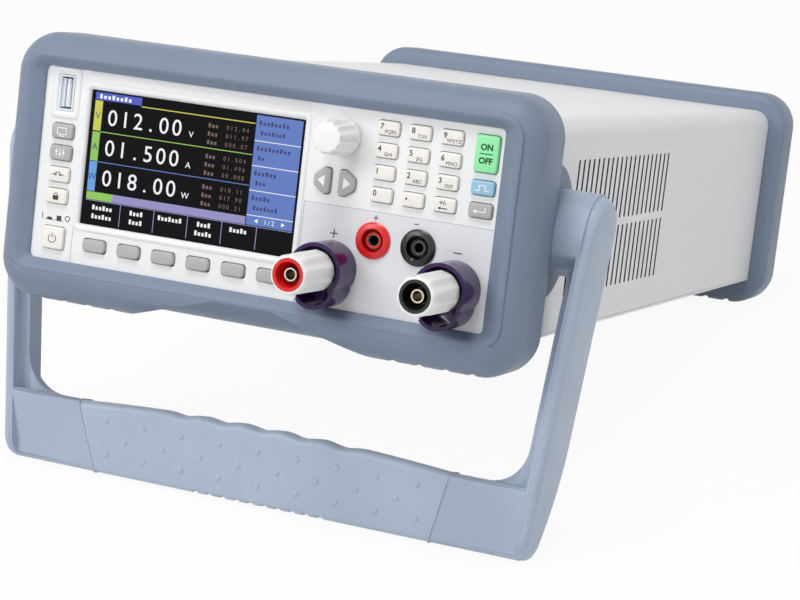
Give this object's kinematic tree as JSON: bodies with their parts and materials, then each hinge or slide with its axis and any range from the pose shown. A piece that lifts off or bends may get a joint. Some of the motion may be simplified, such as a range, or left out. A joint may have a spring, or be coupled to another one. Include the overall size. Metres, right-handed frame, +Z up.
{
  "type": "dc electronic load",
  "caption": "Bench DC electronic load: case between moulded bumpers, keypad panel with colour display, binding posts, and a turning handle used as a stand.",
  "frame": {"origin": "centre of the bounding box's bottom face, on the table the instrument stands on", "axes": "+X to the viewer's right when facing the panel; +Y to the rear; +Z up. The case is tipped front-up by its handle."},
  "size_m": [0.2658, 0.4472, 0.187],
  "materials": {
    "bumper": "soft satin",
    "case_paint": "fine matt paint",
    "panel": "fine matt",
    "display_glass": "dark glossy window",
    "dark_plastic": "matt",
    "circuit_board": "satin",
    "bare_metal": "satin",
    "knob_white": "satin",
    "contact_metal": "bright",
    "guard_purple": "satin",
    "cap_white": "satin",
    "terminal_red": "satin",
    "terminal_black": "satin",
    "handle": "fine matt",
    "grip": "soft matt",
    "heatsink": "extruded",
    "key_ivory": "satin",
    "key_grey": "satin",
    "key_green": "satin",
    "key_blue": "satin"
  },
  "bodies": {
    "instrument": {"front_bumper": "bumper", "rear_bumper": "bumper", "top_cover": "case_paint", "bottom_chassis": "case_paint", "front_panel": "panel", "display_window": "display_glass", "display_module": "dark_plastic", "front_board": "circuit_board", "encoder": "bare_metal", "usb_port": "bare_metal", "post_studs": "contact_metal", "post_guards": "guard_purple", "sense_jack_plus": "terminal_red", "sense_jack_minus": "terminal_black", "jack_sleeves": "contact_metal", "handle_pivots": "bare_metal", "rear_panel": "case_paint", "fan_housing": "dark_plastic", "heatsink": "heatsink", "power_board": "circuit_board", "mains_inlet": "dark_plastic", "serial_port": "bare_metal", "power_switch": "dark_plastic", "cover_screws": "bare_metal"},
    "handle": {"handle_frame": "handle", "handle_grip": "grip"},
    "knob": {"encoder_knob": "knob_white"},
    "fan": {"fan_rotor": "dark_plastic"},
    "post_plus_insert": {"post_insert_plus": "terminal_red"},
    "post_plus_cap": {"post_cap_plus": "cap_white"},
    "post_minus_insert": {"post_insert_minus": "terminal_black"},
    "post_minus_cap": {"post_cap_minus": "cap_white"},
    "key_7_body": {"key_7": "key_ivory"},
    "key_8_body": {"key_8": "key_ivory"},
    "key_9_body": {"key_9": "key_ivory"},
    "key_4_body": {"key_4": "key_ivory"},
    "key_5_body": {"key_5": "key_ivory"},
    "key_6_body": {"key_6": "key_ivory"},
    "key_1_body": {"key_1": "key_ivory"},
    "key_2_body": {"key_2": "key_ivory"},
    "key_3_body": {"key_3": "key_ivory"},
    "key_0_body": {"key_0": "key_ivory"},
    "key_dot_body": {"key_dot": "key_ivory"},
    "key_sign_body": {"key_sign": "key_ivory"},
    "key_on_off_body": {"key_on_off": "key_green"},
    "key_trigger_body": {"key_trigger": "key_blue"},
    "key_enter_body": {"key_enter": "key_grey"},
    "key_display_body": {"key_display": "key_grey"},
    "key_setup_body": {"key_setup": "key_grey"},
    "key_short_body": {"key_short": "key_ivory"},
    "key_lock_body": {"key_lock": "key_ivory"},
    "soft_key_1_body": {"soft_key_1": "key_grey"},
    "soft_key_2_body": {"soft_key_2": "key_grey"},
    "soft_key_3_body": {"soft_key_3": "key_grey"},
    "soft_key_4_body": {"soft_key_4": "key_grey"},
    "soft_key_5_body": {"soft_key_5": "key_grey"},
    "soft_key_6_body": {"soft_key_6": "key_grey"},
    "key_left_body": {"key_left": "key_grey"},
    "key_right_body": {"key_right": "key_grey"},
    "power_button_body": {"power_button": "key_ivory"}
  },
  "joints": [
    {"name": "handle_turn", "type": "hinge", "parent": "instrument", "child": "handle", "pos_m": [0, -0.13936, 0.12824], "axis": [-1, 0, 0], "range_deg": [-30, 220]},
    {"name": "knob_turn", "type": "hinge", "parent": "instrument", "child": "knob", "pos_m": [0.034, -0.18059, 0.16534], "axis": [0, -0.9785, 0.2063], "continuous": true},
    {"name": "fan_spin", "type": "hinge", "parent": "instrument", "child": "fan", "pos_m": [0.052, 0.18481, 0.05989], "axis": [0, -0.9785, 0.2063], "continuous": true},
    {"name": "post_plus_travel", "type": "slide", "parent": "instrument", "child": "post_plus_insert", "axis": [0, -0.9785, 0.2063], "range_m": [0, 0.006]},
    {"name": "post_plus_turn", "type": "hinge", "parent": "post_plus_insert", "child": "post_plus_cap", "pos_m": [0.03465, -0.21717, 0.12032], "axis": [0, -0.9785, 0.2063], "range_deg": [0, 1728.01]},
    {"name": "post_minus_travel", "type": "slide", "parent": "instrument", "child": "post_minus_insert", "axis": [0, -0.9785, 0.2063], "range_m": [0, 0.006]},
    {"name": "post_minus_turn", "type": "hinge", "parent": "post_minus_insert", "child": "post_minus_cap", "pos_m": [0.08675, -0.21717, 0.12032], "axis": [0, -0.9785, 0.2063], "range_deg": [0, 1728.01]},
    {"name": "key_7_press", "type": "slide", "parent": "instrument", "child": "key_7_body", "axis": [0, 0.9785, -0.2063], "range_m": [0, 0.001], "stiffness_N_per_m": 400, "springref_m": -0.001},
    {"name": "key_8_press", "type": "slide", "parent": "instrument", "child": "key_8_body", "axis": [0, 0.9785, -0.2063], "range_m": [0, 0.001], "stiffness_N_per_m": 400, "springref_m": -0.001},
    {"name": "key_9_press", "type": "slide", "parent": "instrument", "child": "key_9_body", "axis": [0, 0.9785, -0.2063], "range_m": [0, 0.001], "stiffness_N_per_m": 400, "springref_m": -0.001},
    {"name": "key_4_press", "type": "slide", "parent": "instrument", "child": "key_4_body", "axis": [0, 0.9785, -0.2063], "range_m": [0, 0.001], "stiffness_N_per_m": 400, "springref_m": -0.001},
    {"name": "key_5_press", "type": "slide", "parent": "instrument", "child": "key_5_body", "axis": [0, 0.9785, -0.2063], "range_m": [0, 0.001], "stiffness_N_per_m": 400, "springref_m": -0.001},
    {"name": "key_6_press", "type": "slide", "parent": "instrument", "child": "key_6_body", "axis": [0, 0.9785, -0.2063], "range_m": [0, 0.001], "stiffness_N_per_m": 400, "springref_m": -0.001},
    {"name": "key_1_press", "type": "slide", "parent": "instrument", "child": "key_1_body", "axis": [0, 0.9785, -0.2063], "range_m": [0, 0.001], "stiffness_N_per_m": 400, "springref_m": -0.001},
    {"name": "key_2_press", "type": "slide", "parent": "instrument", "child": "key_2_body", "axis": [0, 0.9785, -0.2063], "range_m": [0, 0.001], "stiffness_N_per_m": 400, "springref_m": -0.001},
    {"name": "key_3_press", "type": "slide", "parent": "instrument", "child": "key_3_body", "axis": [0, 0.9785, -0.2063], "range_m": [0, 0.001], "stiffness_N_per_m": 400, "springref_m": -0.001},
    {"name": "key_0_press", "type": "slide", "parent": "instrument", "child": "key_0_body", "axis": [0, 0.9785, -0.2063], "range_m": [0, 0.001], "stiffness_N_per_m": 400, "springref_m": -0.001},
    {"name": "key_dot_press", "type": "slide", "parent": "instrument", "child": "key_dot_body", "axis": [0, 0.9785, -0.2063], "range_m": [0, 0.001], "stiffness_N_per_m": 400, "springref_m": -0.001},
    {"name": "key_sign_press", "type": "slide", "parent": "instrument", "child": "key_sign_body", "axis": [0, 0.9785, -0.2063], "range_m": [0, 0.001], "stiffness_N_per_m": 400, "springref_m": -0.001},
    {"name": "key_on_off_press", "type": "slide", "parent": "instrument", "child": "key_on_off_body", "axis": [0, 0.9785, -0.2063], "range_m": [0, 0.001], "stiffness_N_per_m": 400, "springref_m": -0.001},
    {"name": "key_trigger_press", "type": "slide", "parent": "instrument", "child": "key_trigger_body", "axis": [0, 0.9785, -0.2063], "range_m": [0, 0.001], "stiffness_N_per_m": 400, "springref_m": -0.001},
    {"name": "key_enter_press", "type": "slide", "parent": "instrument", "child": "key_enter_body", "axis": [0, 0.9785, -0.2063], "range_m": [0, 0.001], "stiffness_N_per_m": 400, "springref_m": -0.001},
    {"name": "key_display_press", "type": "slide", "parent": "instrument", "child": "key_display_body", "axis": [0, 0.9785, -0.2063], "range_m": [0, 0.001], "stiffness_N_per_m": 400, "springref_m": -0.001},
    {"name": "key_setup_press", "type": "slide", "parent": "instrument", "child": "key_setup_body", "axis": [0, 0.9785, -0.2063], "range_m": [0, 0.001], "stiffness_N_per_m": 400, "springref_m": -0.001},
    {"name": "key_short_press", "type": "slide", "parent": "instrument", "child": "key_short_body", "axis": [0, 0.9785, -0.2063], "range_m": [0, 0.001], "stiffness_N_per_m": 400, "springref_m": -0.001},
    {"name": "key_lock_press", "type": "slide", "parent": "instrument", "child": "key_lock_body", "axis": [0, 0.9785, -0.2063], "range_m": [0, 0.001], "stiffness_N_per_m": 400, "springref_m": -0.001},
    {"name": "soft_key_1_press", "type": "slide", "parent": "instrument", "child": "soft_key_1_body", "axis": [0, 0.9785, -0.2063], "range_m": [0, 0.001], "stiffness_N_per_m": 400, "springref_m": -0.001},
    {"name": "soft_key_2_press", "type": "slide", "parent": "instrument", "child": "soft_key_2_body", "axis": [0, 0.9785, -0.2063], "range_m": [0, 0.001], "stiffness_N_per_m": 400, "springref_m": -0.001},
    {"name": "soft_key_3_press", "type": "slide", "parent": "instrument", "child": "soft_key_3_body", "axis": [0, 0.9785, -0.2063], "range_m": [0, 0.001], "stiffness_N_per_m": 400, "springref_m": -0.001},
    {"name": "soft_key_4_press", "type": "slide", "parent": "instrument", "child": "soft_key_4_body", "axis": [0, 0.9785, -0.2063], "range_m": [0, 0.001], "stiffness_N_per_m": 400, "springref_m": -0.001},
    {"name": "soft_key_5_press", "type": "slide", "parent": "instrument", "child": "soft_key_5_body", "axis": [0, 0.9785, -0.2063], "range_m": [0, 0.001], "stiffness_N_per_m": 400, "springref_m": -0.001},
    {"name": "soft_key_6_press", "type": "slide", "parent": "instrument", "child": "soft_key_6_body", "axis": [0, 0.9785, -0.2063], "range_m": [0, 0.001], "stiffness_N_per_m": 400, "springref_m": -0.001},
    {"name": "key_left_press", "type": "slide", "parent": "instrument", "child": "key_left_body", "axis": [0, 0.9785, -0.2063], "range_m": [0, 0.001], "stiffness_N_per_m": 400, "springref_m": -0.001},
    {"name": "key_right_press", "type": "slide", "parent": "instrument", "child": "key_right_body", "axis": [0, 0.9785, -0.2063], "range_m": [0, 0.001], "stiffness_N_per_m": 400, "springref_m": -0.001},
    {"name": "power_button_press", "type": "slide", "parent": "instrument", "child": "power_button_body", "axis": [0, 0.9785, -0.2063], "range_m": [0, 0.003], "stiffness_N_per_m": 300, "springref_m": -0.002}
  ],
  "couplings": [
    {"joint": "post_plus_turn", "follows": "post_plus_travel", "rad_per_m": 5026.5},
    {"joint": "post_minus_turn", "follows": "post_minus_travel", "rad_per_m": 5026.5}
  ]
}
